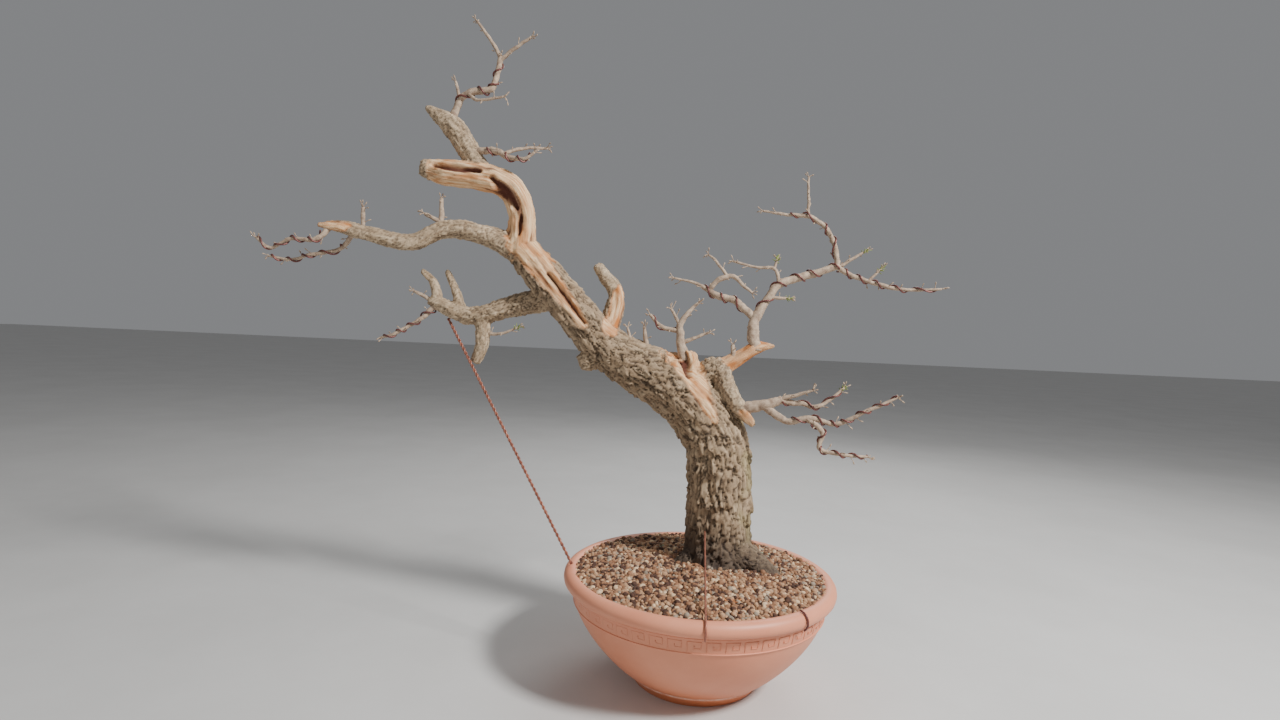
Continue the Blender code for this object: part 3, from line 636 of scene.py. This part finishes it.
def makeTwigs():
    twig = {"spacing": 0.32, "sides": 10, "spurEvery": 1.7, "spurLength": (0.5, 1.3), "tipShoots": 4}
    points, faces = [], []
    for route in thinLimbs.values():
        rows = routeRows(route, twig["spacing"])
        crooked = [(spot + noise.noise_vector(spot * 0.8) * min(0.16, 0.5 * radius),
                    radius * (1 + 0.16 * noise.noise(spot * 2.3))) for spot, radius in rows]
        sweep(crooked, twig["sides"], points, faces, 0.12)
        frames = carriedFrames([spot for spot, radius in crooked])
        every = round(twig["spurEvery"] / twig["spacing"])
        for i in range(every, len(crooked), every):
            spot, radius = crooked[i]
            if radius > 0.5:
                continue
            along, side, up = frames[i]
            turn = random.uniform(0, math.tau)
            aim = (along * 0.6 + math.cos(turn) * side + math.sin(turn) * up).normalized()
            addSpur(points, faces, spot, aim, random.uniform(*twig["spurLength"]), 0.09)
        spot, radius = crooked[-1]
        along, side, up = frames[-1]
        for shoot in range(twig["tipShoots"]):
            turn = math.tau * shoot / twig["tipShoots"] + random.uniform(-0.4, 0.4)
            aim = (along + 0.7 * (math.cos(turn) * side + math.sin(turn) * up)).normalized()
            addSpur(points, faces, spot, aim, random.uniform(0.5, 0.9), 0.09)
    place(fromPoints("twigs", points, faces, twigMaterial), "bark")


makeTwigs()
print("twigs made")


# training wires

coils = {
    "wire_leader": ("leader", 0.18, 1.0), "wire_crown": ("crown", 0.30, 0.95),
    "wire_tip_upper": ("tipUpper", 0.12, 1.0), "wire_tip_lower": ("tipLower", 0.2, 1.0),
    "wire_low_twig": ("lowTwig", 0.1, 1.0), "wire_centre_left": ("centreLeft", 0.2, 1.0),
    "wire_upper": ("upper", 0.28, 1.0), "wire_upper_left": ("upperLeft", 0.12, 0.72),
    "wire_spray": ("spray", 0.05, 0.75), "wire_reach": ("reach", 0.05, 0.97),
    "wire_lower_top": ("lowerTop", 0.05, 1.0), "wire_lower_long": ("lowerLong", 0.2, 1.0),
    "wire_lower_drop": ("lowerDrop", 0.1, 1.0),
}


def makeCoil(node, limb, start, end):
    coil = {"wire": 0.13, "pitch": 2.5, "step": 0.09, "gap": 0.0, "sides": 8}
    rows = routeRows(thinLimbs[limb], coil["step"])
    rows = rows[int(start * (len(rows) - 1)):int(end * (len(rows) - 1)) + 1]
    frames = carriedFrames([spot for spot, radius in rows])
    strand, turn = [], random.uniform(0, math.tau)
    for (spot, radius), (along, side, up) in zip(rows, frames):
        turn += math.tau * coil["step"] / coil["pitch"] * (1 + 0.75 * noise.noise(spot * 0.3))
        reach = radius + coil["wire"] + coil["gap"] + 0.04 * abs(noise.noise(spot * 0.9))
        strand.append((spot + reach * (math.cos(turn) * side + math.sin(turn) * up), coil["wire"]))
    points, faces = [], []
    sweep(strand, coil["sides"], points, faces)
    place(fromPoints(node + "_coil", points, faces, wireMaterial), "copper_wire", node)


for node, (limb, start, end) in coils.items():
    makeCoil(node, limb, start, end)


def rollPoint(bearing, degrees, reach):
    turn, section = math.radians(bearing), math.radians(degrees)
    radius = rollR + reach * math.cos(section)
    return Vector((radius * math.cos(turn), radius * math.sin(turn), rollZ + reach * math.sin(section)))


def makeTies():
    tie = {"wire": 0.13, "gap": 0.08, "tieBearing": 269, "hookBearing": 310, "height": 6, "lean": -118}
    reach = bowl["rollRadius"] + tie["wire"] + tie["gap"]
    over = [(rollPoint(tie["tieBearing"], degrees, reach), tie["wire"]) for degrees in range(100, -61, -8)]
    x, y, height, radius = thickLimbs["trunk"][2]
    away = radius + tie["wire"] + tie["gap"]
    lean = math.radians(tie["lean"])
    head = Vector((x + away * math.cos(lean), y + away * math.sin(lean), bowl["rimHeight"] + tie["height"]))
    run = [(head.lerp(over[0][0], i / 24), tie["wire"]) for i in range(24)]
    points, faces = [], []
    sweep(run + over, 10, points, faces)
    place(fromPoints("frontTie", points, faces, guyMaterial), "copper_wire", "front_tie_wire")
    hook = [(rollPoint(tie["hookBearing"], degrees, reach), tie["wire"]) for degrees in range(90, -61, -8)]
    points, faces = [], []
    sweep(hook, 10, points, faces)
    place(fromPoints("rimHook", points, faces, wireMaterial), "copper_wire", "rim_hook_wire")


makeTies()
print("wires made")


# pot: a circle drawn out ring by ring

def makePot():
    pot = {"segments": 192, "bowlRings": 14, "rollSteps": 10}
    bandTop = rollZ - bowl["rollRadius"]
    bandLow = bandTop - bowl["bandHeight"]
    foot, flare = bowl["footRadius"], bowl["footFlare"]
    rings = [(foot - 0.15, 0.0), (foot, 0.12), (foot + flare * 0.5, 0.9), (foot + flare, 1.45),
             (foot + flare, bowl["footHeight"])]
    for row in range(1, pot["bowlRings"]):
        height = bowl["footHeight"] + (bandLow - bowl["footHeight"]) * row / pot["bowlRings"]
        rings.append((bowlRadius(height), height))
    for drop, stand in ((0.0, 0.0), (0.05, 0.13), (0.17, 0.15), (0.24, 0.03), (2.1, 0.0), (2.15, 0.09),
                        (2.26, 0.09), (2.3, 0.0)):
        rings.append((bowlRadius(bandLow + drop) + stand, bandLow + drop))
    for step in range(pot["rollSteps"] + 1):
        turn = math.radians(-70 + 230 * step / pot["rollSteps"])
        rings.append((rollR + bowl["rollRadius"] * math.cos(turn), rollZ + bowl["rollRadius"] * math.sin(turn)))
    for row in range(pot["bowlRings"], 0, -2):
        height = bowl["footHeight"] + (bandLow - bowl["footHeight"]) * row / pot["bowlRings"]
        rings.append((bowlRadius(height) - bowl["wall"], height))
    rings.append((foot - bowl["wall"], bowl["floor"]))
    deselectAll()
    bpy.ops.mesh.primitive_circle_add(vertices=pot["segments"], radius=rings[0][0] * cm, fill_type="NGON")
    piece = bpy.context.object
    piece.name = "potBody"
    bpy.ops.object.mode_set(mode="EDIT")
    bpy.ops.mesh.select_all(action="SELECT")
    lastR, lastZ = rings[0]
    for radius, height in rings[1:]:
        bpy.ops.mesh.extrude_edges_move(TRANSFORM_OT_translate={"value": (0, 0, (height - lastZ) * cm)})
        grow = radius / lastR
        bpy.ops.transform.resize(value=(grow, grow, 1), center_override=(0, 0, 0))
        lastR, lastZ = radius, height
    bpy.ops.mesh.edge_face_add()
    bpy.ops.mesh.select_all(action="SELECT")
    bpy.ops.mesh.normals_make_consistent(inside=False)
    bpy.ops.object.mode_set(mode="OBJECT")
    return piece


def cutDrains(piece):
    for i in range(5):
        turn = math.tau * i / 5
        deselectAll()
        bpy.ops.mesh.primitive_cylinder_add(vertices=32, radius=bowl["drainRadius"] * cm, depth=0.03,
                                            location=(bowl["drainRing"] * cm * math.cos(turn),
                                                      bowl["drainRing"] * cm * math.sin(turn), 0))
        cutter = bpy.context.object
        only(piece)
        cut = piece.modifiers.new("drain", "BOOLEAN")
        cut.operation, cut.object, cut.solver = "DIFFERENCE", cutter, "EXACT"
        bpy.ops.object.modifier_apply(modifier="drain")
        bpy.data.objects.remove(cutter)
    bpy.ops.object.shade_smooth_by_angle(angle=math.radians(38))
    piece.data.materials.append(potMaterial)
    place(piece, "terracotta_plastic", "pot")


def makeKeyBand():
    # a meander that barely stands out of the band, clearest on the right
    key = {"count": 48, "low": 11.95, "tall": 1.35, "line": 0.06, "rise": 0.045, "clearest": 0.75}
    motif = [(0.0, 0.0), (0.0, 1.0), (0.72, 1.0), (0.72, 0.32), (0.36, 0.32), (0.36, 0.62)]
    points, faces = [], []
    for i in range(key["count"]):
        rows = []
        for u, v in motif:
            turn = math.tau * (i + u) / key["count"]
            height = key["low"] + key["tall"] * v
            depth = -0.035 + key["rise"] * max(0.0, math.cos(turn + key["clearest"]))
            radius = bowlRadius(height) + depth
            rows.append((Vector((radius * math.cos(turn), radius * math.sin(turn), height)), key["line"]))
        sweep(rows, 6, points, faces)
    place(fromPoints("keyBand", points, faces, potMaterial), "terracotta_plastic")


potBody = makePot()
cutDrains(potBody)
makeKeyBand()
print("pot made")


# grit

def makeGrit():
    grit = {"spacing": 0.52, "edge": 0.2, "sizes": (0.24, 0.42), "extra": 900, "lift": 0.12}
    colours = {"beige": ((0.48, 0.29, 0.165), (0.33, 0.18, 0.095), 28),
               "tan": ((0.31, 0.155, 0.08), (0.19, 0.085, 0.04), 30),
               "brown": ((0.10, 0.045, 0.026), (0.05, 0.022, 0.014), 26),
               "cream": ((0.72, 0.53, 0.34), (0.52, 0.35, 0.20), 9),
               "grey": ((0.36, 0.29, 0.22), (0.22, 0.17, 0.12), 8)}
    deselectAll()
    bpy.ops.mesh.primitive_ico_sphere_add(subdivisions=2, radius=1)
    ball = bpy.context.object
    corners = [v.co.copy() for v in ball.data.vertices]
    tris = np.array([tuple(p.vertices) for p in ball.data.polygons])
    bpy.data.objects.remove(ball)
    shapes = []
    for variant in range(8):
        shift = Vector((variant * 3.7, 0, 0))
        shapes.append(np.array([c * (1 + 0.34 * noise.noise(c * 1.3 + shift)) for c in corners]))
    wood = [row for route in thickLimbs.values() for row in routeRows(route, 0.7) if row[0].z < 22]
    seats = []
    rowCount = int(soilR / (grit["spacing"] * 0.87)) + 1
    for j in range(-rowCount, rowCount + 1):
        for i in range(-rowCount - 2, rowCount + 3):
            seats.append(((i + 0.5 * (j % 2)) * grit["spacing"], j * grit["spacing"] * 0.87, 0.0))
    for extra in range(grit["extra"]):
        turn, reach = random.uniform(0, math.tau), soilR * math.sqrt(random.random())
        seats.append((reach * math.cos(turn), reach * math.sin(turn), 0.2))
    groups = {name: ([], []) for name in colours}
    names, weights = list(colours), [colours[name][2] for name in colours]
    for x, y, lift in seats:
        x += random.uniform(-0.14, 0.14)
        y += random.uniform(-0.14, 0.14)
        far = math.hypot(x, y)
        if far > soilR - grit["edge"]:
            continue
        spot = Vector((x, y, soilHeight(far) + lift + grit["lift"] + random.uniform(-0.08, 0.16)))
        if any((spot - centre).length < radius * 0.97 for centre, radius in wood):
            continue
        size = random.uniform(*grit["sizes"])
        axes = np.array([size * random.uniform(0.8, 1.2) for axis in range(3)])
        angles = [random.uniform(0, math.tau) for axis in range(3)]
        ca, sa, cb, sb = math.cos(angles[0]), math.sin(angles[0]), math.cos(angles[1]), math.sin(angles[1])
        spin = np.array([[ca, -sa, 0], [sa, ca, 0], [0, 0, 1]]) @ np.array([[cb, 0, sb], [0, 1, 0], [-sb, 0, cb]])
        grain = (random.choice(shapes) * axes) @ spin.T + np.array(spot)
        bag, sides = groups[random.choices(names, weights)[0]]
        sides.append(tris + 42 * len(bag))
        bag.append(grain)
    for index, name in enumerate(names):
        first, second, weight = colours[name]
        finish = plainFinish(name + "Grit", 260, first, second, 0.9)
        bag, sides = groups[name]
        piece = fromPoints(name + "Grit", np.concatenate(bag).tolist(), np.concatenate(sides).tolist(), finish)
        place(piece, "grit")
        print(name, "grains", len(bag))


makeGrit()
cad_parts["substrate"].data.materials.clear()
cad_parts["substrate"].data.materials.append(bedMaterial)
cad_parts["drain_mesh"].data.materials.clear()
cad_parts["drain_mesh"].data.materials.append(meshMaterial)
print("grit made")


# leaves, lichen and the fallen leaf

def addLeaf(points, faces, root, aim, across, length, width):
    # one small folded blade, closed top and bottom
    start = len(points)
    fold = aim.cross(across).normalized()
    outline = [(0.0, 0.12), (0.25, 0.8), (0.55, 1.0), (0.8, 0.62), (1.0, 0.06)]
    for lift in (0.015, -0.015):
        for t, w in outline:
            middle = root + aim * length * t + fold * (lift - 0.10 * length * t * t)
            rise = fold * 0.22 * width * w
            points.extend([middle - across * width * w * 0.5 + rise, middle,
                           middle + across * width * w * 0.5 + rise])
    rows, step = len(outline), 3
    for r in range(rows - 1):
        for c in range(2):
            a = start + r * step + c
            faces.append((a, a + 1, a + step + 1, a + step))
            b = a + rows * step
            faces.append((b, b + step, b + step + 1, b + 1))
    edge = [start + c for c in range(3)] + [start + r * step + 2 for r in range(1, rows)] \
        + [start + (rows - 1) * step + c for c in (1, 0)] + [start + r * step for r in range(rows - 2, 0, -1)]
    for k, a in enumerate(edge):
        b = edge[(k + 1) % len(edge)]
        faces.append((b, a, a + rows * step, b + rows * step))


def makeSprigs():
    sprigs = ["reachUp", "reachLeaf", "upperSmall", "lowerTop", "middleTuft", "lowDropTwig"]
    for index, limb in enumerate(sprigs):
        rows = routeRows(thinLimbs[limb], 0.5)
        tip = rows[-1][0]
        along, side, up = carriedFrames([spot for spot, radius in rows])[-1]
        points, faces = [], []
        for leaf in range(8):
            turn = 2.4 * leaf
            out = math.cos(turn) * side + math.sin(turn) * up
            aim = (along * (0.35 + 0.09 * leaf) + out * (0.9 - 0.07 * leaf)).normalized()
            across = aim.cross(out + along * 0.3).normalized()
            addLeaf(points, faces, tip - along * (0.7 - 0.1 * leaf), aim, across,
                    random.uniform(0.55, 0.95), random.uniform(0.28, 0.4))
        piece = fromPoints("leafSprig%d" % (index + 1), points, faces, leafMaterial)
        place(piece, "leaf_green", "leaf_sprig_%d" % (index + 1))


def makeLichen():
    patches = [(-9.5, 7.0, 1.3), (-4.5, 8.5, 1.1), (11.0, 8.0, 1.0)]
    for index, (x, y, radius) in enumerate(patches):
        points, faces = [], []
        for lobe in range(46):
            turn, reach = random.uniform(0, math.tau), radius * math.sqrt(random.random())
            spot = Vector((x + reach * math.cos(turn), y + reach * math.sin(turn), 0))
            spot.z = soilHeight(math.hypot(spot.x, spot.y)) + 0.22
            aim = Vector((math.cos(turn), math.sin(turn), random.uniform(0.2, 0.9))).normalized()
            across = aim.cross(Vector((0, 0, 1))).normalized()
            addLeaf(points, faces, spot, aim, across, random.uniform(0.3, 0.6), random.uniform(0.25, 0.45))
        piece = fromPoints("lichen%d" % (index + 1), points, faces, mossMaterial)
        place(piece, "moss_green", "moss_%d" % (index + 1))


def makeFallenLeaf():
    points, faces = [], []
    x, y = 3.5, -12.5
    ground = soilHeight(math.hypot(x, y)) + 0.32
    for turn, length in ((0.1, 1.5), (2.9, 1.3), (-0.7, 1.2), (1.2, 0.8)):
        aim = Vector((math.cos(turn), math.sin(turn), 0.12)).normalized()
        across = aim.cross(Vector((0, 0, 1))).normalized()
        addLeaf(points, faces, Vector((x, y, ground)), aim, across, length, 0.5)
    place(fromPoints("fallenLeaf", points, faces, deadLeafMaterial), "dead_leaf", "fallen_leaf")


makeSprigs()
makeLichen()
makeFallenLeaf()
print("leaves made")
